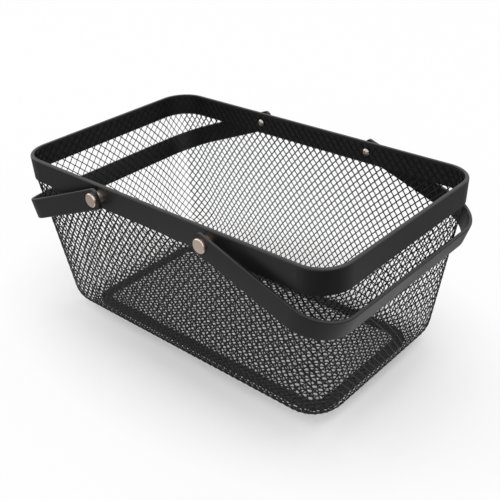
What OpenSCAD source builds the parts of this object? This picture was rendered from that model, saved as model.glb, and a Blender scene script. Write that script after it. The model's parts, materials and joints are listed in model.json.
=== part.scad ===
// Wire locker basket: a drawn expanded-steel mesh basket with a folded steel rim band,
// a flat steel foot ring and two swinging strap handles on pivot posts.
// Millimetres. X is the long side, Y the short side, Z is up.
// The origin is at the middle of the base, on the surface that the basket stands on.

/* [Rim] */
// Overall length over the rim
rim_length = 400; // [340:5:460]
// Overall width over the rim
rim_width = 240; // [210:5:290]
// Height from the standing surface to the top of the rim
basket_height = 184; // [150:5:230]
// Outer corner radius of the rim, seen from above
rim_corner_r = 32; // [26:1:45]
// Height of the steel band round the rim
band_height = 24.5; // [22:0.5:32]
// Sheet thickness of the band
band_t = 1; // [0.8:0.1:1.4]
// Width of the band's top edge where it is folded in over the mesh
lip_width = 4; // [3.6:0.1:6]
// Radius of the rounded outer edge along the top of the band
lip_edge_r = 1.6; // [1.2:0.1:2]
// Depth of the hem that turns down inside the mesh
hem_depth = 3; // [2:0.25:5]
// Lean of the band from upright, in degrees
band_lean = 2.2; // [0:0.1:4]

/* [Mesh] */
// Slope of the two long walls from upright, in degrees
side_draft = 5; // [3:0.1:7]
// Slope of the two end walls from upright, in degrees
end_draft = 6.4; // [3:0.1:8]
// Thickness of the mesh sheet
mesh_t = 1; // [0.8:0.1:1.5]
// Outer radius of the bend between walls and floor
floor_bend_r = 31; // [22:1:36]
// Corner radius of the walls where that bend begins
low_corner_r = 38.6; // [34:0.2:44]
// Size of one diamond of the flat sheet along the basket, twice that of the real sheet
cell_x = 16.2; // [12:0.2:30]
// Size of one diamond of the flat sheet across the basket, twice that of the real sheet
cell_y = 18.4; // [12:0.2:30]
// How much the walls' diamonds were stretched upward when the sheet was drawn to shape
draw_stretch = 1.17; // [1:0.01:1.4]
// Width of the strands between diamonds, measured across the strand
strand_w = 2; // [1.4:0.1:3]
// Gap between neighbouring sections of the mesh, and between mesh and band
seam_gap = 0.1; // [0.05:0.01:0.2]

/* [Foot ring] */
// Thickness of the flat steel ring under the floor
ring_t = 1.5; // [1:0.1:3]
// Width of the ring's strip
ring_strip_w = 12; // [9:0.5:16]
// How far the ring stands out past the flat of the floor, at the ends
ring_reach_x = 10; // [4:0.5:12]
// How far the ring stands out past the flat of the floor, at the sides
ring_reach_y = 5.5; // [4:0.5:9]
// Outer corner radius of the ring
ring_corner_r = 26; // [18:1:34]

/* [Handles] */
// Width of the handle strap
strap_w = 21.4; // [16:0.2:24]
// Thickness of the handle strap
strap_t = 3.5; // [2.5:0.1:4.5]
// Radius along the strap's edges
strap_edge_r = 1.2; // [0.6:0.1:1.2]
// Distance from the pivot's axis to the end of the strap
strap_end = 8.2; // [7:0.1:10]
// Corner radius of the strap's ends
strap_end_r = 6; // [3:0.5:7.5]
// Outer radius of the two bends of each handle
handle_bend_r = 39; // [24:1:60]
// Distance of each pivot from the middle of the basket
pivot_x = 71.5; // [55:0.5:85]
// Downward tilt of the arms where the grip lies on the end wall, in degrees
rest_tilt = 22.2; // [18:0.1:26]
// How far above that the right handle stands, held by its pivots, in degrees
right_lift = 3; // [0:0.5:8]
// Gap left between the resting grip and the mesh
rest_gap = 0.3; // [0.2:0.05:1]

/* [Pivots] */
// Diameter of the pivot post's head
head_d = 14; // [11:0.5:16]
// Thickness of the pivot post's head
head_t = 2.2; // [1.6:0.1:3]
// Bevel round the rim of the head
head_bevel = 0.6; // [0.3:0.1:0.8]
// Diameter of the pivot post's barrel
post_d = 6; // [5:0.1:7]
// Running clearance between the barrel and the strap's hole, on the radius
run_gap = 0.08; // [0.03:0.01:0.1]
// Clearance between each face of the strap and its neighbour
side_gap = 0.15; // [0.1:0.05:0.3]
// Outer diameter of the spacer between strap and band
spacer_d = 12; // [10:0.5:14]
// Length of the spacer on the pivot's axis
spacer_len = 5.3; // [4.5:0.1:8]
// Diameter of the inner screw's head
screw_head_d = 8; // [7:0.5:10]
// Height of the inner screw's domed head
screw_head_h = 2; // [1.6:0.1:2.6]
// Diameter of the inner screw's shank
screw_d = 3.8; // [3:0.1:4]
// Length of the inner screw's shank outward from its head
screw_len = 5; // [4:0.5:7]
// Clearance of fixed pins in their holes, on the radius
fixed_gap = 0.05; // [0.03:0.01:0.1]

/* [Hidden] */
SIDES = ["front", "right", "back", "left"];
CORNERS = ["front_right", "back_right", "back_left", "front_left"];
PIVOTS = ["front_left", "front_right", "back_left", "back_right"];
facets = 96;
// How far a cutter runs past the faces it cuts
past = 1;

half_l = rim_length / 2;
half_w = rim_width / 2;
band_low_z = basket_height - band_height;
mesh_top_z = basket_height - band_t - seam_gap;
floor_z = ring_t;

// Sides are numbered 0 front, 1 right, 2 back, 3 left
function draft(q) = q % 2 == 0 ? side_draft : end_draft;
function half_along(q) = q % 2 == 0 ? half_l : half_w;
function half_across(q) = q % 2 == 0 ? half_w : half_l;

// How far a face stands in from the rim's widest line: the band's outer face, and the mesh's
edge_set = lip_edge_r * ((1 + sin(band_lean)) / cos(band_lean) - 1);
function band_inset(z) = (basket_height - z) * tan(band_lean) - edge_set;
fold_inset = band_inset(band_low_z) + band_t + seam_gap;
function collar_inset(z) = band_inset(z) + band_t + seam_gap;
function wall_inset(q, z) = fold_inset + (band_low_z - z) * tan(draft(q));

// The bend between wall and floor: where it leaves the wall, and where it meets the flat floor
function bend_z(q) = floor_z + floor_bend_r * (1 - sin(draft(q)));
function bend_inset(q) = wall_inset(q, bend_z(q));
function floor_inset(q) = bend_inset(q) + floor_bend_r * cos(draft(q));
floor_half_l = half_l - floor_inset(1);
floor_half_w = half_w - floor_inset(0);

// Half of a side's flat run between its two rounded corners, at the bend and behind the band
function low_run(q) = half_along(q) - bend_inset(q + 1) - low_corner_r;
function top_run(q) = half_along(q) - rim_corner_r;

// Handles: the arm is as long as brings the grip's lower inner edge onto the end wall
pivot_z = basket_height - band_height / 2;
strap_in_y = half_w - band_inset(pivot_z) + spacer_len + side_gap;
strap_out_y = strap_in_y + strap_t;
wall_at_pivot = half_l - wall_inset(1, pivot_z);
end_slope = tan(end_draft);
grip_in = (wall_at_pivot + rest_gap / cos(end_draft) - pivot_x
        + strap_w / 2 * (sin(rest_tilt) - end_slope * cos(rest_tilt)))
    / (cos(rest_tilt) + end_slope * sin(rest_tilt));
grip_out = grip_in + strap_t;

post_inner_y = half_w - collar_inset(pivot_z) - mesh_t / 2;
screw_seat_y = half_w - collar_inset(pivot_z - screw_head_d / 2) - mesh_t / cos(band_lean) - fixed_gap;
screw_tip_y = screw_seat_y + screw_len;

// Diamonds across a side, round a corner, and down the collar, the wall and the bend
row_h = draw_stretch * (cell_x + cell_y) / 2;
function across(q) = round((low_run(q) + top_run(q)) / (q % 2 == 0 ? cell_x : cell_y));
corner_cells = round(rim_corner_r * PI / 2 / ((cell_x + cell_y) / 2));
collar_rows = max(1, round(band_height / row_h));
wall_rows = round((band_low_z - bend_z(0)) / row_h);
bend_rows = max(1, round(floor_bend_r * PI / 2 / row_h));

// How much of a diamond w wide and h high its strand takes from each tip
function tip(w, h) = strand_w / 2 * sqrt(w * w + h * h) / (w * h);

// Point at u across and v up a panel whose half width runs from low to high over its height
function at(low, high, height, u, v) = [(2 * u - 1) * (low + (high - low) * v), v * height];

// Diamonds of a panel n cells across and m cells up, with the half diamonds along its edges
function diamonds(low, high, height, n, m) =
    let (cut = tip((low + high) / n, height / m))
    [
        for (i = [0 : 2 * n], j = [0 : 2 * m])
            if ((i + j) % 2 == 1)
                [
                    at(low, high, height, (i / 2 - 0.5 + cut) / n, j / 2 / m),
                    at(low, high, height, i / 2 / n, (j / 2 - 0.5 + cut) / m),
                    at(low, high, height, (i / 2 + 0.5 - cut) / n, j / 2 / m),
                    at(low, high, height, i / 2 / n, (j / 2 + 0.5 - cut) / m)
                ]
    ];

// A flat sheet of diamond mesh standing on its lower edge, its outer face towards -Y
module mesh_panel(q, low, high, height, rows) {
    rotate([90, 0, 0]) translate([0, 0, -mesh_t]) linear_extrude(mesh_t)
        difference() {
            polygon([[-low + seam_gap, 0], [low - seam_gap, 0], [high - seam_gap, height],
                    [-high + seam_gap, height]]);
            for (d = diamonds(low, high, height, across(q), rows)) polygon(d);
        }
}

// Carries a section round a rounded rectangle; the section's x points outward and its y up
module around(length, width, r) {
    for (q = [0 : 3])
        rotate(90 * q) {
            along = q % 2 == 0 ? width : length;
            across = q % 2 == 0 ? length : width;
            translate([across / 2, 0, 0])
                rotate([90, 0, 0]) linear_extrude(along - 2 * r, center = true) children();
            translate([across / 2 - r, along / 2 - r, 0])
                rotate_extrude(angle = 90, $fn = facets) translate([r, 0]) children();
        }
}

// Points of an arc about a centre, from one angle to another
function arc(centre, r, from, to, steps) =
    [for (i = [0 : steps]) let (a = from + (to - from) * i / steps) centre + r * [cos(a), sin(a)]];

// Section of the band: a leaning sheet, rounded over at the top into a lip with a turned-down hem
module band_section() {
    low_x = -band_inset(band_low_z);
    lip_r = band_t / 2;
    polygon([
        [low_x, -band_height],
        each arc([-lip_edge_r, -lip_edge_r], lip_edge_r, -band_lean, 90, 8),
        each arc([lip_r - lip_width, -lip_r], lip_r, 90, 180, 5),
        [-lip_width, -hem_depth],
        [band_t - lip_width, -hem_depth],
        [band_t - lip_width, -band_t],
        [-band_inset(basket_height - band_t) - band_t, -band_t],
        [low_x - band_t, -band_height]
    ]);
}

// A pivot axis, turned so that +Z points outward along it
module at_pivot(i) {
    x = (i % 2 == 0 ? -1 : 1) * pivot_x;
    translate([x, 0, pivot_z]) rotate([i < 2 ? 90 : -90, 0, 0]) children();
}

// The hole for a pivot's barrel through band and mesh
module pivot_hole(i) {
    depth = 12;
    at_pivot(i) translate([0, 0, half_w - depth])
        cylinder(d = post_d + 2 * fixed_gap, h = depth + past, $fn = facets);
}

module rim_band() {
    color("#232323")
        difference() {
            translate([0, 0, basket_height]) around(rim_length, rim_width, rim_corner_r) band_section();
            for (i = [0 : 3]) pivot_hole(i);
        }
}

// Flat outline with rounded corners
module rounded_outline(length, width, r) {
    square([length, width - 2 * r], center = true);
    square([length - 2 * r, width], center = true);
    for (x = [-1, 1], y = [-1, 1])
        translate([x * (length / 2 - r), y * (width / 2 - r)]) circle(r = r, $fn = facets);
}

module base_ring() {
    length = 2 * (floor_half_l + ring_reach_x);
    width = 2 * (floor_half_w + ring_reach_y);
    color("#1c1c1c")
        linear_extrude(ring_t)
            difference() {
                rounded_outline(length, width, ring_corner_r);
                rounded_outline(length - 2 * ring_strip_w, width - 2 * ring_strip_w, ring_corner_r - ring_strip_w);
            }
}

module mesh_floor() {
    corner = low_corner_r - floor_bend_r * cos(side_draft);
    n = round(2 * floor_half_l / cell_x);
    m = round(2 * floor_half_w / cell_y);
    color("#202020")
        translate([0, 0, floor_z])
            linear_extrude(mesh_t)
                difference() {
                    rounded_outline(2 * (floor_half_l - seam_gap), 2 * (floor_half_w - seam_gap), corner);
                    for (d = diamonds(floor_half_l, floor_half_l, 2 * floor_half_w, n, m))
                        translate([0, -floor_half_w]) polygon(d);
                }
}

// Turns a piece drawn as part of the front to side q
module side(q) {
    rotate(90 * q) children();
}

// A flat wall below the band, and its upright collar behind the band
module mesh_wall(q) {
    slant = (band_low_z - bend_z(q)) / cos(draft(q));
    collar = (mesh_top_z - band_low_z) / cos(band_lean);
    color("#202020")
        difference() {
            side(q) {
                translate([0, bend_inset(q) - half_across(q), bend_z(q)])
                    rotate([draft(q), 0, 0]) mesh_panel(q, low_run(q), top_run(q), slant, wall_rows);
                translate([0, fold_inset - half_across(q), band_low_z])
                    rotate([band_lean, 0, 0]) mesh_panel(q, top_run(q), top_run(q), collar, collar_rows);
            }
            if (q % 2 == 0)
                for (i = q == 0 ? [0, 1] : [2, 3]) pivot_hole(i);
        }
}

// Section of the bend, drawn with the end of the wall's outer face at x = 0, a seam's gap short at both ends
module bend_section(q) {
    reach = 2 * floor_bend_r;
    gap = asin(seam_gap / floor_bend_r);
    low = draft(q) + gap;
    translate([-floor_bend_r * cos(draft(q)), floor_z + floor_bend_r])
        intersection() {
            difference() {
                circle(r = floor_bend_r, $fn = facets);
                circle(r = floor_bend_r - mesh_t, $fn = facets);
            }
            polygon([
                [0, 0], reach * [cos(low), -sin(low)], [reach, -reach], reach * [sin(gap), -cos(gap)]
            ]);
        }
}

// The bend of one side, its diamonds cut straight toward the bend's axis
module mesh_bend(q) {
    n = across(q);
    span = 90 - draft(q);
    w = 2 * low_run(q) / n;
    reach = 0.5 - tip(w, floor_bend_r * span * PI / 180 / bend_rows);
    tall = floor_bend_r * sin(span / bend_rows * reach);
    start = (floor_bend_r - mesh_t) * cos(span / bend_rows * reach) - mesh_t;
    color("#202020")
        side(q)
            translate([0, bend_inset(q) - half_across(q), 0])
                difference() {
                    rotate([90, 0, -90])
                        linear_extrude(2 * (low_run(q) - seam_gap), center = true) bend_section(q);
                    translate([0, floor_bend_r * cos(draft(q)), floor_z + floor_bend_r])
                        for (i = [0 : 2 * n], j = [0 : 2 * bend_rows])
                            if ((i + j) % 2 == 1)
                                rotate([90 + draft(q) + span * j / bend_rows / 2, 0, 0])
                                    translate([(i - n) * w / 2, 0, start])
                                        linear_extrude(floor_bend_r + past - start)
                                            polygon([[-w * reach, 0], [0, -tall], [w * reach, 0], [0, tall]]);
                }
}

// The rounded corners of the mesh, from the band down into the floor, are lattices of strands. Places on them
// are counted in half diamonds, round the turn from the end wall and down from the top edge.
turn_steps = 2 * corner_cells;
fold_step = 2 * collar_rows;
bend_step = fold_step + 2 * wall_rows;
floor_step = bend_step + 2 * bend_rows;

// Radius and height of the corner's face, with a depth below the outer face. The slope changes with the turn
// from the end wall's to the long wall's, and the radius grows from the band to the bend.
function corner_face(turn, step, depth) =
    let (
        a = end_draft + (side_draft - end_draft) * turn / turn_steps,
        r = floor_bend_r - depth,
        f = a + (90 - a) * max(0, step - bend_step) / (floor_step - bend_step),
        top = [rim_corner_r - collar_inset(mesh_top_z) - depth, mesh_top_z],
        fold = [rim_corner_r - fold_inset - depth, band_low_z],
        bend = [low_corner_r - floor_bend_r * cos(a) + r * cos(f), floor_z + floor_bend_r - r * sin(f)]
    )
    step <= fold_step ? top + (fold - top) * step / fold_step
    : step < bend_step ? fold + (bend - fold) * (step - fold_step) / (bend_step - fold_step)
    : bend;
function corner_point(turn, step, depth) =
    let (
        face = corner_face(turn, step, depth),
        k = min(1, max(0, step - fold_step) / (bend_step - fold_step)),
        angle = 90 * turn / turn_steps
    )
    [
        top_run(0) + (low_run(0) - top_run(0)) * k + face[0] * cos(angle),
        top_run(1) + (low_run(1) - top_run(1)) * k + face[0] * sin(angle),
        face[1]
    ];

// Distance in half diamonds from a crossing to the hole's tip beside it
function corner_tip(step) =
    let (w = corner_face(turn_steps / 2, step, 0)[0] * PI / 2 / corner_cells)
    2 * min(0.4, tip(w, (band_low_z - bend_z(0)) / wall_rows));

module mesh_corner(k) {
    n = turn_steps;
    m = floor_step;
    // Points are numbered: crossings, then tips beside them round the turn, then tips above and below them
    crossings = ((n + 1) * (m + 1) + 1) / 2;
    count = crossings + n * (m + 1) + (n + 1) * m;
    function crossing(i, j) = (i * (m + 1) + j) / 2;
    function beside(i, j) = crossings + i * (m + 1) + j;
    function below(i, j) = crossings + n * (m + 1) + i * m + j;
    points = [
        for (depth = [0, mesh_t])
            each [
                for (i = [0 : n], j = [0 : m]) if ((i + j) % 2 == 0) corner_point(i, j, depth),
                for (i = [0 : n - 1], j = [0 : m])
                    corner_point((i + j) % 2 == 0 ? i + corner_tip(j) : i + 1 - corner_tip(j), j, depth),
                for (i = [0 : n], j = [0 : m - 1])
                    corner_point(i, (i + j) % 2 == 0 ? j + corner_tip(j) : j + 1 - corner_tip(j + 1), depth)
            ]
    ];
    // The strand in one square between four places, clockwise seen from outside, from its upper crossing
    function strand(i, j) =
        (i + j) % 2 == 0
            ? [crossing(i, j), beside(i, j), below(i + 1, j), crossing(i + 1, j + 1), beside(i, j + 1), below(i, j)]
            : [crossing(i + 1, j), below(i + 1, j), beside(i, j + 1), crossing(i, j + 1), below(i, j), beside(i, j)];
    outer = [
        for (i = [0 : n - 1], j = [0 : m - 1])
            let (s = strand(i, j)) each [for (t = [1, 2, 3, 4]) [s[0], s[t], s[t + 1]]]
    ];
    inner = [for (f = outer) [f[0] + count, f[2] + count, f[1] + count]];
    // Edges of the strands that border a hole or the corner's own border
    edges = [
        for (i = [0 : n - 1], j = [0 : m - 1])
            let (s = strand(i, j), even = (i + j) % 2 == 0)
                each [
                    [s[1], s[2]],
                    [s[4], s[5]],
                    if (even ? j == 0 : i == n - 1) [s[0], s[1]],
                    if (even ? i == n - 1 : j == m - 1) [s[2], s[3]],
                    if (even ? j == m - 1 : i == 0) [s[3], s[4]],
                    if (even ? i == 0 : j == 0) [s[5], s[0]]
                ]
    ];
    sides = [
        for (e = edges) each [[e[1], e[0], e[0] + count], [e[1], e[0] + count, e[1] + count]]
    ];
    color("#202020")
        mirror([k == 2 || k == 3 ? 1 : 0, 0, 0]) mirror([0, k == 0 || k == 3 ? 1 : 0, 0])
            polyhedron(points, concat(outer, inner, sides), convexity = 8);
}

// Section of the strap with rounded edges, x across its thickness and y across its width
module strap_section() {
    x = strap_t / 2 - strap_edge_r;
    y = strap_w / 2 - strap_edge_r;
    square([strap_t, 2 * y], center = true);
    square([2 * x, strap_w], center = true);
    for (i = [-1, 1], j = [-1, 1]) translate([i * x, j * y]) circle(r = strap_edge_r, $fn = facets);
}

// Outline of an arm and its rounded end, seen along the pivot's axis
module arm_outline() {
    low_y = strap_end_r - strap_w / 2;
    translate([-strap_end, low_y]) square([strap_end + grip_out, -2 * low_y]);
    translate([strap_end_r - strap_end, -strap_w / 2]) square([strap_end + grip_out - strap_end_r, strap_w]);
    for (y = [low_y, -low_y]) translate([strap_end_r - strap_end, y]) circle(r = strap_end_r, $fn = facets);
}

// A handle lying flat with its pivot axis along Y and its grip towards +X
module flat_handle() {
    mid_y = strap_in_y + strap_t / 2;
    mid_x = grip_in + strap_t / 2;
    bend_mid_r = handle_bend_r - strap_t / 2;
    difference() {
        union() {
            for (s = [-1, 1]) {
                intersection() {
                    translate([mid_x - bend_mid_r, s * mid_y, 0])
                        rotate([90, 0, -90]) linear_extrude(mid_x - bend_mid_r + strap_w) strap_section();
                    rotate([90, 0, 0]) linear_extrude(2 * (strap_out_y + past), center = true) arm_outline();
                }
                translate([mid_x - bend_mid_r, s * (mid_y - bend_mid_r), 0])
                    rotate(s > 0 ? 0 : -90)
                        rotate_extrude(angle = 90, $fn = facets) translate([bend_mid_r, 0]) strap_section();
            }
            translate([mid_x, 0, 0])
                rotate([90, 0, 0]) linear_extrude(2 * (mid_y - bend_mid_r), center = true) strap_section();
        }
        rotate([90, 0, 0])
            cylinder(d = post_d + 2 * run_gap, h = 2 * (strap_out_y + past), center = true, $fn = facets);
    }
}

module handle(s) {
    color("#262626")
        rotate(s > 0 ? 0 : 180)
            translate([pivot_x, 0, pivot_z])
                rotate([0, s > 0 ? rest_tilt - right_lift : rest_tilt, 0]) flat_handle();
}

// Outer half of a pivot: bevelled head and the barrel that the strap turns on
module pivot_post(i) {
    head_y = strap_out_y + side_gap;
    color("#b9a79c")
        at_pivot(i)
            difference() {
                union() {
                    translate([0, 0, head_y]) cylinder(d = head_d, h = head_t - head_bevel, $fn = facets);
                    translate([0, 0, head_y + head_t - head_bevel])
                        cylinder(d1 = head_d, d2 = head_d - 2 * head_bevel, h = head_bevel, $fn = facets);
                    translate([0, 0, post_inner_y]) cylinder(d = post_d, h = head_y - post_inner_y + past, $fn = facets);
                }
                translate([0, 0, post_inner_y - past])
                    cylinder(d = screw_d + 2 * fixed_gap, h = screw_tip_y - post_inner_y + 2 * past, $fn = facets);
            }
}

// Spacer between strap and band, its inner end cut to the band's slope
module spacer(i) {
    outer_y = strap_in_y - side_gap;
    face_y = half_w - band_inset(pivot_z);
    color("#b9a79c")
        at_pivot(i)
            difference() {
                translate([0, 0, face_y - past]) cylinder(d = spacer_d, h = outer_y - face_y + past, $fn = facets);
                cylinder(d = post_d + 2 * fixed_gap, h = rim_width, $fn = facets);
                translate([0, 0, face_y]) rotate([i < 2 ? band_lean : -band_lean, 0, 0])
                    translate([0, 0, -spacer_d]) cube(2 * [spacer_d, spacer_d, spacer_d], center = true);
            }
}

// Inner half of a pivot: a domed screw with a cross recess
module pivot_screw(i) {
    dome_r = (screw_head_h * screw_head_h + screw_head_d * screw_head_d / 4) / (2 * screw_head_h);
    recess_w = screw_head_d / 8;
    recess_l = screw_head_d * 0.55;
    root = screw_head_h / 4;
    color("#a8a29c")
        at_pivot(i) {
            difference() {
                intersection() {
                    translate([0, 0, screw_seat_y - screw_head_h + dome_r]) sphere(r = dome_r, $fn = facets);
                    translate([0, 0, screw_seat_y - screw_head_h])
                        cylinder(d = screw_head_d, h = screw_head_h, $fn = facets);
                }
                for (a = [0, 90])
                    rotate(a) translate([0, 0, screw_seat_y - screw_head_h])
                        cube([recess_l, recess_w, screw_head_h], center = true);
            }
            translate([0, 0, screw_seat_y - root]) cylinder(d = screw_d, h = screw_len + root, $fn = facets);
        }
}

rim_band();
base_ring();
mesh_floor();
for (q = [0 : 3]) {
    mesh_wall(q);
    mesh_bend(q);
    mesh_corner(q);
    pivot_post(q);
    spacer(q);
    pivot_screw(q);
}
handle(-1);  // handle_left
handle(1);  // handle_right
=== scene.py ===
"""Dresses the wire locker basket: a drawn expanded-steel tub, a folded rim band, a foot ring,
two strap handles and their pivots, with the camera, lights and floor of the photograph."""

import json
import math

import bpy
import numpy as np
from bpy.props import FloatProperty, FloatVectorProperty, IntProperty, PointerProperty
from mathutils import Matrix, Vector


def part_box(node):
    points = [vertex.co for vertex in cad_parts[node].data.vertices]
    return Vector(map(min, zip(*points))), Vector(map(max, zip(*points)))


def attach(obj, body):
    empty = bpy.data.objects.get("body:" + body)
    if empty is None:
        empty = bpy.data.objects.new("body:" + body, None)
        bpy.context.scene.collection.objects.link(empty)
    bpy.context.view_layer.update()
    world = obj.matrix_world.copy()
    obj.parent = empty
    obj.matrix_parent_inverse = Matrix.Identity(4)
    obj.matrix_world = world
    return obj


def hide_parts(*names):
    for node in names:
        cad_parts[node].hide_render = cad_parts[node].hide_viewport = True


bl_info = {
    "name": "Wire Locker Basket",
    "version": (1, 0, 0),
    "blender": (4, 5, 0),
    "location": "View3D > Sidebar > Basket",
    "description": "Builds the surfaces, finishes and stage of a wire locker basket round its solid frame",
    "category": "Add Mesh",
}

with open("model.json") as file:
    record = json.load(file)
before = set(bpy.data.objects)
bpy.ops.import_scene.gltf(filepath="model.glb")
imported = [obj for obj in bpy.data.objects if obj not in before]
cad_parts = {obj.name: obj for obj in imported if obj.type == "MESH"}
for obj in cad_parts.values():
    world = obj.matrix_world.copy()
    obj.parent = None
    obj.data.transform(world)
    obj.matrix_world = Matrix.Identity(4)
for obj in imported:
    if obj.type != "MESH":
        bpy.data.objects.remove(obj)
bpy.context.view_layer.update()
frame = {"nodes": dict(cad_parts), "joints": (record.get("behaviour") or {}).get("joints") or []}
MM = 0.001

# Places read from the solid frame, in millimetres
RIM_LOW, RIM_HIGH = (np.array(corner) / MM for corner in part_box("rim_band"))
HALF_LENGTH = float(RIM_HIGH[0])
HALF_WIDTH = float(RIM_HIGH[1])
RIM_TOP = float(RIM_HIGH[2])
RIM_FOOT = float(RIM_LOW[2])
RING_THICKNESS = float(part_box("base_ring")[1].z / MM)
PIVOT = {joint["child"]: np.array(joint["pos_m"]) / MM for joint in frame["joints"]}
PIVOT_X = float(PIVOT["right_handle"][0])
PIVOT_Z = float(PIVOT["right_handle"][2])
POST_LOW, POST_HIGH = (np.array(corner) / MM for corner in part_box("pivot_post_back_right"))
SCREW_LOW, SCREW_HIGH = (np.array(corner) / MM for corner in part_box("pivot_screw_back_right"))
SPACER_HIGH = float(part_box("spacer_back_right")[1].y / MM)
HANDLE_HIGH = np.array(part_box("handle_right")[1]) / MM


def srgb(code):
    """Turns a colour written as #rrggbb into the linear colour that shaders take."""
    parts = [int(code[i : i + 2], 16) / 255 for i in (1, 3, 5)]
    return tuple(c / 12.92 if c <= 0.04045 else ((c + 0.055) / 1.055) ** 2.4 for c in parts)


def length_prop(name, text, value, low, high):
    """A length in millimetres that the panel shows."""
    return FloatProperty(name=name, description=text, default=value, min=low, max=high)


def colour_prop(name, text, code):
    """A colour that the panel shows, given as #rrggbb."""
    return FloatVectorProperty(
        name=name, description=text, subtype="COLOR", size=3, min=0, max=1, default=srgb(code)
    )


class BasketShape(bpy.types.PropertyGroup):
    """Sizes of the basket's surfaces, in millimetres and degrees"""

    rim_corner: length_prop("Rim corner", "Outer corner radius of the rim", 32, 20, 50)
    band_lean: length_prop("Band lean", "Lean of the rim band from upright, in degrees", 2.2, 0, 6)
    sheet: length_prop("Sheet", "Thickness of the band's sheet steel", 1.0, 0.6, 2)
    lip_width: length_prop("Lip", "Width of the rim's folded top edge", 4, 3, 8)
    lip_edge: length_prop("Lip edge", "Radius of the rim's rounded outer edge", 1.6, 1, 2.5)
    hem_depth: length_prop("Hem", "Depth of the hem that turns down inside", 3, 1, 6)
    side_draft: length_prop("Side slope", "Slope of the long walls, in degrees", 5, 0, 12)
    end_draft: length_prop("End slope", "Slope of the end walls, in degrees", 6.4, 0, 12)
    bend: length_prop("Floor bend", "Outer radius of the bend from wall to floor", 31, 15, 40)
    low_corner: length_prop("Low corner", "Corner radius where the floor bend begins", 38.6, 30, 45)
    strap_width: length_prop("Strap width", "Width of the handle straps", 21.4, 14, 30)
    strap: length_prop("Strap thickness", "Thickness of the handle straps", 3.5, 2, 5)
    strap_bend: length_prop("Strap bend", "Outer radius of the handles' bends", 42, 20, 60)
    rest_tilt: length_prop("Rest tilt", "Droop of the handles at rest, in degrees", 21.5, 0, 45)


class MeshPattern(bpy.types.PropertyGroup):
    """Counts and sizes of the expanded steel's diamonds"""

    along: IntProperty(
        name="Along", description="Diamonds along the basket, foot edge to foot edge", default=46, min=10, max=80
    )
    across: IntProperty(
        name="Across", description="Diamonds across the basket, foot edge to foot edge", default=24, min=6, max=60
    )
    rows: IntProperty(
        name="Rows", description="Diamonds from the middle of the floor bend up to the rim", default=18, min=6, max=40
    )
    strand: length_prop("Strand", "Width of a strand of the mesh", 1.4, 0.6, 2.5)
    end_strand: length_prop("End strand", "Width of a strand on the end walls", 1.0, 0.6, 2.5)
    thickness: length_prop("Thickness", "Thickness of a strand of the mesh", 0.6, 0.5, 1.5)
    side_twist: length_prop("Side twist", "How much deeper one edge of a long wall's strand lies than the other", 0.6, 0, 3)
    end_twist: length_prop("End twist", "The same for the strands of the end walls", 0.5, 0, 3)
    floor_twist: length_prop("Floor twist", "The same for the strands of the floor", 1.0, 0, 3)
    pressed: length_prop("Pressed", "Height below the band over which the strands flatten out", 8, 1, 30)
    knuckle: length_prop("Knuckle", "How far the strands stay joined where they cross", 0.5, 0.2, 2)
    crown: FloatProperty(
        name="Crown", description="How much thinner a strand's edges are than its middle", default=0.3, min=0, max=0.8
    )


class BasketColours(bpy.types.PropertyGroup):
    """Colours of the basket's finishes and of the stage"""

    coat: colour_prop("Powder coat", "Satin black coat of the steel", "#131313")
    nickel: colour_prop("Pivots", "Champagne nickel of the pivots", "#fbe6d4")
    screw: colour_prop("Screws", "Bright nickel of the inner screws", "#c9c1ba")
    floor: colour_prop("Floor", "Pale floor under the basket", "#fafafa")


def shape():
    """The basket's sizes as the panel holds them."""
    return bpy.context.scene.basket_shape


def pattern():
    """The mesh's counts and sizes as the panel holds them."""
    return bpy.context.scene.basket_mesh


def colours():
    """The finishes' colours as the panel holds them."""
    return bpy.context.scene.basket_colours


# Materials


def add_node(tree, kind, inputs=None, links=None, **settings):
    """Adds one shader node, sets its options and sockets, and links its inputs."""
    node = tree.nodes.new(kind)
    for name, value in settings.items():
        setattr(node, name, value)
    for name, value in (inputs or {}).items():
        node.inputs[name].default_value = value
    for name, source in (links or {}).items():
        tree.links.new(source, node.inputs[name])
    return node


def new_material(name, **sockets):
    """A material with one Principled shader, whose constant values are set on its own sockets."""
    material = bpy.data.materials.new(name)
    material.use_nodes = True
    shader = material.node_tree.nodes["Principled BSDF"]
    for socket, value in sockets.items():
        shader.inputs[socket.replace("_", " ")].default_value = value
    return material, material.node_tree, shader


def opaque(colour):
    """A colour with full cover, as a shader's colour socket takes it."""
    return (*colour, 1.0)


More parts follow.
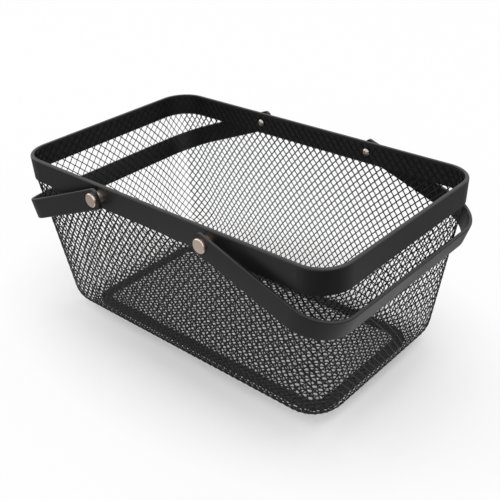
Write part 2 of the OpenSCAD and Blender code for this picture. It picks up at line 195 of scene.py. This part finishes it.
def powder_coat(name, bump_height, grain=0.9, ior=1.5):
    """Satin powder coat on steel: baked polyester, slightly pebbled, so that a reflection is broad and soft."""
    material, tree, shader = new_material(name, Roughness=0.42, IOR=ior)
    place = add_node(tree, "ShaderNodeTexCoord")
    pebbles = add_node(
        tree, "ShaderNodeTexNoise", {"Scale": 1 / (grain * MM), "Detail": 2.0, "Roughness": 0.55},
        {"Vector": place.outputs["Object"]},
    )
    clouds = add_node(
        tree, "ShaderNodeTexNoise", {"Scale": 1 / (45 * MM), "Detail": 3.0}, {"Vector": place.outputs["Object"]}
    )
    tone = add_node(tree, "ShaderNodeValToRGB", links={"Fac": clouds.outputs["Fac"]})
    base = np.array(colours().coat)
    tone.color_ramp.elements[0].position = 0.3
    tone.color_ramp.elements[1].position = 0.7
    tone.color_ramp.elements[0].color = opaque(tuple(base * 0.9))
    tone.color_ramp.elements[1].color = opaque(tuple(base * 1.1))
    gloss = add_node(
        tree, "ShaderNodeMapRange", {"From Min": 0.3, "From Max": 0.7, "To Min": 0.38, "To Max": 0.46},
        {"Value": clouds.outputs["Fac"]},
    )
    bump = add_node(
        tree, "ShaderNodeBump", {"Strength": 0.35, "Distance": bump_height * MM}, {"Height": pebbles.outputs["Fac"]}
    )
    tree.links.new(tone.outputs["Color"], shader.inputs["Base Color"])
    tree.links.new(gloss.outputs["Result"], shader.inputs["Roughness"])
    tree.links.new(bump.outputs["Normal"], shader.inputs["Normal"])
    return material


def turned_metal(name, colour, roughness):
    """Plated steel turned on a lathe, then lightly tumbled: a soft metal sheen with faint fine scratches."""
    material, tree, shader = new_material(
        name, Base_Color=opaque(colour), Metallic=1.0, Roughness=roughness
    )
    place = add_node(tree, "ShaderNodeTexCoord")
    scratches = add_node(
        tree, "ShaderNodeTexNoise", {"Scale": 1 / (0.6 * MM), "Detail": 3.0}, {"Vector": place.outputs["Object"]}
    )
    bump = add_node(
        tree, "ShaderNodeBump", {"Strength": 0.25, "Distance": 0.03 * MM}, {"Height": scratches.outputs["Fac"]}
    )
    rough = add_node(
        tree, "ShaderNodeMapRange",
        {"From Min": 0.3, "From Max": 0.7, "To Min": roughness - 0.06, "To Max": roughness + 0.06},
        {"Value": scratches.outputs["Fac"]},
    )
    tree.links.new(rough.outputs["Result"], shader.inputs["Roughness"])
    tree.links.new(bump.outputs["Normal"], shader.inputs["Normal"])
    return material


def finish_of(name):
    """The basket's finish of that name, made when it is first asked for."""
    found = bpy.data.materials.get(name)
    if found:
        return found
    makers = {
        "satin_black_powder_coat": lambda: powder_coat("satin_black_powder_coat", 0.04),
        "black_coated_mesh_steel": lambda: powder_coat("black_coated_mesh_steel", 0.06, ior=1.36),
        "champagne_nickel_plate": lambda: turned_metal("champagne_nickel_plate", tuple(colours().nickel), 0.36),
        "bright_nickel_plate": lambda: turned_metal("bright_nickel_plate", tuple(colours().screw), 0.26),
    }
    return makers[name]()


# Mesh building


def make_object(name, points, faces, material, smooth=True):
    """Puts points in millimetres and faces into a new object at the origin."""
    mesh = bpy.data.meshes.new(name)
    mesh.from_pydata((np.asarray(points, float).reshape(-1, 3) * MM).tolist(), [], faces)
    mesh.validate()
    mesh.polygons.foreach_set("use_smooth", [smooth] * len(mesh.polygons))
    mesh.materials.append(material)
    obj = bpy.data.objects.new(name, mesh)
    bpy.context.scene.collection.objects.link(obj)
    return obj


def grid_faces(rows, columns, close_rows=False, close_columns=False):
    """Quads of a grid of points; either way round it can close on itself."""
    i = np.arange(rows if close_rows else rows - 1)
    j = np.arange(columns if close_columns else columns - 1)
    i, j = (a.ravel() for a in np.meshgrid(i, j, indexing="ij"))
    i2, j2 = (i + 1) % rows, (j + 1) % columns
    return np.stack([i * columns + j, i2 * columns + j, i2 * columns + j2, i * columns + j2], 1)


def arc_points(centre, radius, start, end, steps):
    """Points on an arc about a centre, from one angle to another in degrees."""
    a = np.radians(np.linspace(start, end, steps + 1))
    return np.stack([centre[0] + radius * np.cos(a), centre[1] + radius * np.sin(a)], 1)


def sharp_edges(obj, degrees=35):
    """Marks edges that turn by more than an angle, so that flat faces stay flat under smooth shading."""
    obj.data.set_sharp_from_angle(angle=math.radians(degrees))
    return obj


# The drawn surface of the tub


class Tub:
    """The tub's outer face, as a function of position on a net of five flat faces.

    The net is a box: its floor is ruled along X and Y, and its walls are ruled along the floor's edge and
    upward. On the tub the net's lower edges lie halfway round the floor bend, and its upright edges halfway
    round the corners. Three of the net's faces meet at the middle of each lower corner, as on a cube."""

    def __init__(self):
        s = shape()
        self.bend = s.bend
        self.low_corner = s.low_corner
        self.lean = math.radians(s.band_lean)
        edge_set = s.lip_edge * ((1 + math.sin(self.lean)) / math.cos(self.lean) - 1)
        gap = 0.1
        self.fold_z = RIM_FOOT
        self.top_z = RIM_TOP - s.sheet - 0.2
        self.fold_inset = (RIM_TOP - RIM_FOOT) * math.tan(self.lean) - edge_set + s.sheet + gap
        self.fold_corner = s.rim_corner - self.fold_inset
        self.drafts = (math.radians(s.end_draft), math.radians(s.side_draft))
        low = [
            self.fold_inset + (self.fold_z - RING_THICKNESS - s.bend * (1 - math.sin(d))) * math.tan(d)
            for d in self.drafts
        ]
        self.low_run = np.array([HALF_LENGTH - low[0], HALF_WIDTH - low[1]]) - s.low_corner
        self.top_run = np.array([HALF_LENGTH, HALF_WIDTH]) - s.rim_corner
        mean = sum(self.drafts) / 2
        self.edge_run = (s.low_corner - s.bend * math.cos(mean) + s.bend * (math.pi / 2 - mean)) / 2
        self.half_net = self.low_run + self.edge_run
        self.rise = float(self.lengths(np.array([0.0, math.pi / 2]))[3].mean()) - self.edge_run

    def lengths(self, turn):
        """Draft of the wall at a turn in plan, and the section's lengths from the corner's middle: the flat,
        to the end of the bend, and to the top."""
        draft = self.drafts[0] + (self.drafts[1] - self.drafts[0]) * turn / (math.pi / 2)
        flat = self.low_corner - self.bend * np.cos(draft)
        wall_start = flat + self.bend * (math.pi / 2 - draft)
        wall = (self.fold_z - RING_THICKNESS - self.bend * (1 - np.sin(draft))) / np.cos(draft)
        return draft, flat, wall_start, wall_start + wall + (self.top_z - self.fold_z) / math.cos(self.lean)

    def section(self, run, turn):
        """Where a run along the section comes to, and the outward normal there.

        Flat floor, then an arc of the bend's radius, then the straight wall, then the collar behind the band,
        each drawn in distance out from the corner's middle and height. The last value says how far up the wall
        the place is, from 0 at the bend to 1 at the band's lower edge."""
        draft, flat, wall_start, total = self.lengths(turn)
        angle = np.clip((run - flat) / self.bend, 0, math.pi / 2 - draft)
        out = np.minimum(run, flat) + self.bend * np.sin(angle)
        z = RING_THICKNESS + self.bend * (1 - np.cos(angle))
        collar = (self.top_z - self.fold_z) / math.cos(self.lean)
        up = np.clip((run - wall_start) / (total - collar - wall_start), 0, 1)
        out = out * (1 - up) + self.fold_corner * up
        z = z * (1 - up) + self.fold_z * up
        over = np.clip(run - (total - collar), 0, collar)
        out = out + over * math.sin(self.lean)
        z = z + over * math.cos(self.lean)
        angle = np.where(over > 0, math.pi / 2 - self.lean, angle)
        return out, z, np.sin(angle), -np.cos(angle), up

    def place(self, x, y, rise):
        """Points and outward normals for places on the net with X and Y positive.

        x and y run along the net's floor and stop at its edges, and rise runs up a wall. Past the straight
        runs each turns into an angle of up to 45 degrees. The angles' tangents and the floor's normal add up
        to a direction, as on a ball wrapped in a box; its turn in plan and its tilt give the place."""
        x_angle, y_angle, climb = (
            np.clip(v / self.edge_run, 0, 1) * math.pi / 4
            for v in (x - self.low_run[0], y - self.low_run[1], rise)
        )
        px, py, down = np.tan(x_angle), np.tan(y_angle), np.tan(math.pi / 4 - climb)
        px, py, down = (np.where(v < 1e-9, 0, v) for v in (px, py, down))
        turn = np.where(px > 0, np.arctan2(py, px), math.pi / 2)
        run = np.arctan2(np.hypot(px, py), down) / (math.pi / 2) * 2 * self.edge_run
        share = np.clip((rise - self.edge_run) / (self.rise - self.edge_run), 0, 1)
        run = run + share * (self.lengths(turn)[3] - 2 * self.edge_run)
        out, z, n_out, n_z, up = self.section(run, turn)
        cos, sin = np.where(px > 0, np.cos(turn), 0), np.where(py > 0, np.sin(turn), 0)
        spread = 1 + up[..., None] * (self.top_run / self.low_run - 1)
        middle = np.minimum(np.stack([x, y], -1), self.low_run) * spread
        point = np.stack([middle[..., 0] + out * cos, middle[..., 1] + out * sin, z], -1)
        normal = np.stack([n_out * cos, n_out * sin, n_z], -1)
        return point, normal

    def face(self, side, u, v):
        """Points and outward normals on a net face. side is floor, or front, right, back or left."""
        hx, hy = self.half_net
        x, y, rise = {
            "floor": (u, v, 0 * u),
            "front": (u, 0 * u - hy, v),
            "right": (0 * u + hx, u, v),
            "back": (u, 0 * u + hy, v),
            "left": (0 * u - hx, u, v),
        }[side]
        point, normal = self.place(np.abs(x), np.abs(y), rise)
        for axis, along in ((0, x), (1, y)):
            mirror = np.where(along < 0, -1, 1)
            point[..., axis] *= mirror
            normal[..., axis] *= mirror
        return point, normal


# The sheet of expanded steel

SIDES = ("floor", "front", "right", "back", "left")
# Faces of the net whose two directions make a left-handed pair with the outward normal
LEFT_HANDED = ("floor", "back", "left")


def net_face(tub, side):
    """A net face's first and last place in both directions, and its counts of half diamonds."""
    p = pattern()
    hx, hy = tub.half_net
    if side == "floor":
        return (-hx, hx, 2 * p.along), (-hy, hy, 2 * p.across)
    if side in ("front", "back"):
        return (-hx, hx, 2 * p.along), (0, tub.rise, 2 * p.rows)
    return (-hy, hy, 2 * p.across), (0, tub.rise, 2 * p.rows)


def expanded_sheet(tub, side):
    """Points and faces of the solid strands on one face of the net.

    The face is ruled in half diamonds. Places whose two counts add up to an even number are crossings, the
    others are middles of holes, so each small square holds one strand, from its lower crossing A to its upper
    crossing B. A hole's corners lie on the lines from the crossings to its middle. They are pointed along the
    sheet's long way and cut off square across it, where slit and pulled steel stays joined. The strand's
    section is a flat hexagon, thickest along its middle."""
    p = pattern()
    (u0, u1, n), (v0, v1, m) = net_face(tub, side)
    step_u, step_v = (u1 - u0) / n, (v1 - v0) / m
    lie = math.atan2(step_v, step_u)
    strand = p.end_strand if side in ("right", "left") else p.strand
    tip_u, tip_v = strand / 2 / math.sin(lie), strand / 2 / math.cos(lie)
    blunt_across = side in ("right", "left")
    cut_u, cut_v = (p.knuckle / 2, 0) if blunt_across else (0, p.knuckle / 2)

    twist = {"floor": p.floor_twist, "left": p.end_twist, "right": p.end_twist}.get(side, p.side_twist)

    def layers(i, j, du, dv, thickness):
        """Outer and inner points for places on the ruled face, in one array.

        Slit and pulled steel leans its strands like the slats of a blind: toward +X on the long walls and
        upward elsewhere, a strand's edge lies deeper in the basket. The sheet is flat where two faces of the
        net meet, and it is pressed flat behind the band."""
        point, normal = tub.face(side, u0 + i * step_u + du, v0 + j * step_v + dv)
        toward_edge = du / tip_u if side in ("front", "back") else dv / tip_v
        from_seam = np.minimum(np.minimum(i, n - i), np.minimum(j, m - j))
        depth = p.floor_twist / 2 + (twist - p.floor_twist) / 2 * np.clip(from_seam / 4, 0, 1)
        depth = depth * (1 + np.where(from_seam == 0, 0, toward_edge))
        depth = depth * np.clip((RIM_FOOT - point[..., 2]) / p.pressed, 0, 1)
        middle = point - normal * (p.thickness / 2 + depth[..., None])
        return np.stack([middle + normal * thickness / 2, middle - normal * thickness / 2])

    thin = p.thickness * (1 - p.crown)
    i, j = np.meshgrid(np.arange(n + 1), np.arange(m + 1), indexing="ij")
    crossings = layers(i, j, 0, 0, p.thickness)
    i, j = np.meshgrid(np.arange(n), np.arange(m + 1), indexing="ij")
    side_tips = layers(i + (i + j) % 2, j, np.where((i + j) % 2, -tip_u, tip_u), 0, thin)
    i, j = np.meshgrid(np.arange(n + 1), np.arange(m), indexing="ij")
    end_tips = layers(i, j + (i + j) % 2, 0, np.where((i + j) % 2, -tip_v, tip_v), thin)
    i, j = np.meshgrid(np.arange(n), np.arange(m), indexing="ij")
    odd = (i + j) % 2
    way = 1 - 2 * odd
    near = (cut_u, tip_v) if blunt_across else (tip_u, cut_v)
    blunt_a = layers(i + odd, j, way * near[0], near[1], thin)
    blunt_b = layers(i + 1 - odd, j + 1, -way * near[0], -near[1], thin)

    groups = [crossings, side_tips, end_tips, blunt_a, blunt_b]
    starts = np.cumsum([0] + [g[0, ..., 0].size for g in groups])
    points = np.concatenate([g.reshape(2, -1, 3) for g in groups], 1)
    i, j, odd = i.ravel(), j.ravel(), odd.ravel()
    a = (i + odd) * (m + 1) + j
    b = (i + 1 - odd) * (m + 1) + j + 1
    a_side, b_side = starts[1] + i * (m + 1) + j, starts[1] + i * (m + 1) + j + 1
    a_end, b_end = starts[2] + (i + odd) * m + j, starts[2] + (i + 1 - odd) * m + j
    blunt_a, blunt_b = (starts[k] + i * m + j for k in (3, 4))
    first, second = (blunt_b, blunt_a) if blunt_across else (blunt_a, blunt_b)
    halves = [np.stack([a, a_side, first, b_end, b], 1), np.stack([b, b_side, second, a_end, a], 1)]
    inner = points.shape[1]

    turned = (odd == 1) != (side in LEFT_HANDED)
    faces = []

    def add(corners, flip):
        """Adds faces, turned round where the square's two directions are left-handed."""
        faces.extend(np.where(flip[:, None], corners[:, ::-1], corners).tolist())

    def wall(start, end, flip):
        """Adds the faces between outer and inner layer along the line from start to end."""
        add(np.stack([end, start, start + inner, end + inner], 1), flip)

    for half in halves:
        add(half, turned)
        add(half[:, ::-1] + inner, turned)
        for k in (1, 2):
            wall(half[:, k], half[:, k + 1], turned)
    # The cut ends of crossings, where this face of the net ends
    for edge, start, end in (
        (j == 0, a, a_side), (j == m - 1, b, b_side),
        ((i == 0) & (odd == 0), a_end, a), ((i == 0) & (odd == 1), b_end, b),
        ((i == n - 1) & (odd == 0), b_end, b), ((i == n - 1) & (odd == 1), a_end, a),
    ):
        wall(start[edge], end[edge], turned[edge])
    return points.reshape(-1, 3), faces


def drop_unused(points, faces):
    """Leaves out the points that no face uses, and numbers the rest again."""
    used = np.unique(np.concatenate([np.asarray(f) for f in faces]))
    place = np.zeros(len(points), int)
    place[used] = np.arange(len(used))
    return points[used], [place[f].tolist() for f in faces]


# Camera, lights and floor

# The photograph's view, solved from the outlines of rim, foot and handles
CAMERA_PLACE = (503.4, -537.9, 507.5)
CAMERA_TURN = 42.49
CAMERA_HEIGHT = 29.95
CAMERA_ROLL = -2.47
CAMERA_LENS = 58.3
SENSOR = 36.0


def photo_camera():
    """The camera of the photograph: a standard lens, from the front right corner and above."""
    data = bpy.data.cameras.new("photo_camera")
    data.lens = CAMERA_LENS
    data.sensor_width = SENSOR
    data.clip_start = 0.01
    data.clip_end = 50
    camera = bpy.data.objects.new("photo_camera", data)
    bpy.context.scene.collection.objects.link(camera)
    az, el = math.radians(CAMERA_TURN), math.radians(CAMERA_HEIGHT)
    back = Vector((math.sin(az) * math.cos(el), -math.cos(az) * math.cos(el), math.sin(el)))
    right = (-back).cross(Vector((0, 0, 1))).normalized()
    up = right.cross(-back).normalized()
    roll = math.radians(CAMERA_ROLL)
    x_axis = math.cos(roll) * right + math.sin(roll) * up
    y_axis = -math.sin(roll) * right + math.cos(roll) * up
    turned = Matrix((x_axis, y_axis, back)).transposed().to_4x4()
    camera.matrix_world = Matrix.Translation(Vector(CAMERA_PLACE) * MM) @ turned
    bpy.context.scene.camera = camera


def soft_light(name, place, target, size, watts):
    """A large soft box that faces a point."""
    data = bpy.data.lights.new(name, "AREA")
    data.shape = "SQUARE"
    data.size = size
    data.energy = watts
    lamp = bpy.data.objects.new(name, data)
    bpy.context.scene.collection.objects.link(lamp)
    lamp.location = place
    lamp.rotation_euler = (Vector(target) - Vector(place)).to_track_quat("-Z", "Y").to_euler()


def floor_finish():
    """Matt white board. Seen by glossy rays it carries painted light and shade, a painted reflection for the coat:
    bright beside the basket, painted darker under it, dimmer farther away, and painted dark toward the camera."""
    material, tree, shader = new_material("matt_white_board", Roughness=0.9, Specular_IOR_Level=0.0)
    place = add_node(tree, "ShaderNodeTexCoord")
    distance = add_node(tree, "ShaderNodeVectorMath", operation="LENGTH", links={0: place.outputs["Object"]})
    # Painted reflection: grey by distance from the middle, painted shade within 120 mm, a painted pool of light near
    # 220 mm, dimmer beyond
    away = add_node(
        tree, "ShaderNodeMapRange", {"From Min": 120 * MM, "From Max": 520 * MM}, {"Value": distance.outputs["Value"]}
    )
    painted_reflection_ramp = add_node(tree, "ShaderNodeValToRGB", links={"Fac": away.outputs["Result"]})
    ramp = painted_reflection_ramp.color_ramp
    ramp.elements[0].color = opaque(3 * (0.3,))
    ramp.elements[1].color = opaque(3 * (0.25,))
    for place_on_ramp, grey in ((0.25, 0.95), (0.6, 0.35)):
        ramp.elements.new(place_on_ramp).color = opaque(3 * (grey,))
    # Painted shade toward the camera: the painted reflection darkens from 200 to 500 mm along the camera's side
    toward = add_node(tree, "ShaderNodeVectorMath", operation="DOT_PRODUCT", links={0: place.outputs["Object"]})
    turn = math.radians(CAMERA_TURN)
    toward.inputs[1].default_value = (math.sin(turn), -math.cos(turn), 0)
    front = add_node(
        tree, "ShaderNodeMapRange", {"From Min": 200 * MM, "From Max": 500 * MM, "To Min": 1.0, "To Max": 0.1},
        {"Value": toward.outputs["Value"]},
    )
    painted_reflection = add_node(
        tree, "ShaderNodeVectorMath", operation="SCALE",
        links={0: painted_reflection_ramp.outputs["Color"], "Scale": front.outputs["Result"]},
    )
    # Glossy rays see the painted reflection; all other rays see the floor's own pale colour
    path = add_node(tree, "ShaderNodeLightPath")
    shown = add_node(
        tree, "ShaderNodeMix", data_type="RGBA", links={0: path.outputs["Is Glossy Ray"], 7: painted_reflection.outputs[0]}
    )
    shown.inputs[6].default_value = opaque(tuple(colours().floor))
    tree.links.new(shown.outputs[2], shader.inputs["Base Color"])

    # Seen by the camera, the board carries a painted white glow that grows away from the basket and covers its shadow
    # there; only the shadow close to the basket stays
    flattened = add_node(
        tree, "ShaderNodeVectorMath", {1: (0.62, 1, 0)}, {0: place.outputs["Object"]}, operation="MULTIPLY"
    )
    outside = add_node(tree, "ShaderNodeVectorMath", operation="LENGTH", links={0: flattened.outputs[0]})
    painted_glow_share = add_node(
        tree, "ShaderNodeMapRange", {"From Min": 105 * MM, "From Max": 215 * MM, "To Max": 0.88},
        {"Value": outside.outputs["Value"]},
    )
    share = add_node(
        tree, "ShaderNodeMath", operation="MULTIPLY",
        links={0: painted_glow_share.outputs["Result"], 1: path.outputs["Is Camera Ray"]},
    )
    # The painted glow: white emission on the floor, which is no lamp
    white = add_node(tree, "ShaderNodeEmission", {"Color": (1, 1, 1, 1), "Strength": 1.0})
    mixed = add_node(
        tree, "ShaderNodeMixShader",
        links={0: share.outputs[0], 1: shader.outputs["BSDF"], 2: white.outputs["Emission"]},
    )
    tree.links.new(mixed.outputs["Shader"], tree.nodes["Material Output"].inputs["Surface"])
    return material


def studio():
    """The floor, the even light of the room and two soft boxes."""
    side = 6.0
    corners = np.array([[-1, -1, 0], [1, -1, 0], [1, 1, 0], [-1, 1, 0]]) * side / MM
    floor = make_object("floor", corners, [[0, 1, 2, 3]], floor_finish())
    world = bpy.context.scene.world or bpy.data.worlds.new("studio")
    bpy.context.scene.world = world
    world.use_nodes = True
    tree = world.node_tree
    background = tree.nodes["Background"]
    background.inputs["Color"].default_value = (1, 1, 1, 1)
    # White where the camera or a shiny face looks at it, and dimmer as a light
    path = add_node(tree, "ShaderNodeLightPath")
    direct = add_node(
        tree, "ShaderNodeMath", operation="MAXIMUM",
        links={0: path.outputs["Is Camera Ray"], 1: path.outputs["Is Glossy Ray"]},
    )
    looked_at = add_node(
        tree, "ShaderNodeMath", operation="MAXIMUM",
        links={0: direct.outputs[0], 1: path.outputs["Is Transmission Ray"]},
    )
    level = add_node(
        tree, "ShaderNodeMapRange", {"To Min": 0.7, "To Max": 1.0}, {"Value": looked_at.outputs[0]}
    )
    tree.links.new(level.outputs["Result"], background.inputs["Strength"])
    soft_light("over", (0.3, 1.2, 4.2), (0, 0, 0), 3.4, 60)
    soft_light("side", (-2.4, -0.6, 1.6), (0, 0, 0.1), 1.6, 8)


# Operators


class BuildStep:
    """What every step shares: it builds, and says that it is done."""

    bl_options = {"REGISTER", "UNDO"}

    def execute(self, context):
        """Builds the step's pieces."""
        self.build()
        return {"FINISHED"}


def coat(names, finish):
    """Gives solid frame nodes their finish."""
    for name in names:
        mesh = frame["nodes"][name].data
        mesh.materials.clear()
        mesh.materials.append(finish_of(finish))


def nodes_named(start):
    """The frame's nodes whose names start so."""
    return sorted(name for name in frame["nodes"] if name.startswith(start))


class BASKET_OT_steelwork(BuildStep, bpy.types.Operator):
    """Coats the rim band, the foot ring and the two handles"""

    bl_idname = "basket.steelwork"
    bl_label = "Band, ring and handles"

    def build(self):
        """The solids have their true form, so they only take their finish."""
        coat(["rim_band", "base_ring", "handle_left", "handle_right"], "satin_black_powder_coat")


class BASKET_OT_pivots(BuildStep, bpy.types.Operator):
    """Plates the pivot posts, spacers and screws"""

    bl_idname = "basket.pivots"
    bl_label = "Pivots"

    def build(self):
        """The solids have their true form, so they only take their finish."""
        coat(nodes_named("pivot_post") + nodes_named("spacer"), "champagne_nickel_plate")
        coat(nodes_named("pivot_screw"), "bright_nickel_plate")


class BASKET_OT_mesh(BuildStep, bpy.types.Operator):
    """Draws the sheet of expanded steel over the tub's walls, bends, corners and floor"""

    bl_idname = "basket.mesh"
    bl_label = "Expanded steel mesh"

    def build(self):
        """One piece for each face of the net; where two meet, their crossings share the same cut."""
        tub = Tub()
        stands_for = {
            "floor": ["mesh_floor"] + nodes_named("mesh_bend"),
            "front": ["mesh_wall_front", "mesh_corner_front_right"],
            "right": ["mesh_wall_right", "mesh_corner_back_right"],
            "back": ["mesh_wall_back", "mesh_corner_back_left"],
            "left": ["mesh_wall_left", "mesh_corner_front_left"],
        }
        for side in SIDES:
            points, faces = drop_unused(*expanded_sheet(tub, side))
            sheet = make_object(f"expanded_mesh_{side}", points, faces, finish_of("black_coated_mesh_steel"), False)
            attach(sheet, "root")
            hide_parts(*stands_for[side])


class BASKET_OT_stage(BuildStep, bpy.types.Operator):
    """Sets up the camera, the lights and the floor"""

    bl_idname = "basket.stage"
    bl_label = "Stage"

    def build(self):
        """The photograph's view on a white floor."""
        bpy.context.scene.view_settings.view_transform = "Standard"
        photo_camera()
        studio()


class BASKET_PT_panel(bpy.types.Panel):
    """Lists the basket's sizes, colours and steps"""

    bl_idname = "BASKET_PT_panel"
    bl_label = "Wire locker basket"
    bl_space_type = "VIEW_3D"
    bl_region_type = "UI"
    bl_category = "Basket"

    def draw(self, context):
        """Sizes and colours first, then one button for each step."""
        for group in (context.scene.basket_shape, context.scene.basket_mesh, context.scene.basket_colours):
            for name in group.__annotations__:
                self.layout.prop(group, name)
        for step in STEPS:
            self.layout.operator(step.bl_idname)


STEPS = (BASKET_OT_steelwork, BASKET_OT_pivots, BASKET_OT_mesh, BASKET_OT_stage)
CLASSES = (BasketShape, MeshPattern, BasketColours, *STEPS, BASKET_PT_panel)


def register():
    """Adds the classes and the scene's groups of settings."""
    for kind in CLASSES:
        bpy.utils.register_class(kind)
    bpy.types.Scene.basket_shape = PointerProperty(type=BasketShape)
    bpy.types.Scene.basket_mesh = PointerProperty(type=MeshPattern)
    bpy.types.Scene.basket_colours = PointerProperty(type=BasketColours)


def unregister():
    """Removes what register added."""
    for name in ("basket_shape", "basket_mesh", "basket_colours"):
        delattr(bpy.types.Scene, name)
    for kind in reversed(CLASSES):
        bpy.utils.unregister_class(kind)


def main():
    """Builds everything in order."""
    register()
    bpy.ops.basket.steelwork()
    bpy.ops.basket.pivots()
    bpy.ops.basket.mesh()
    bpy.ops.basket.stage()


if __name__ == "__main__":
    main()
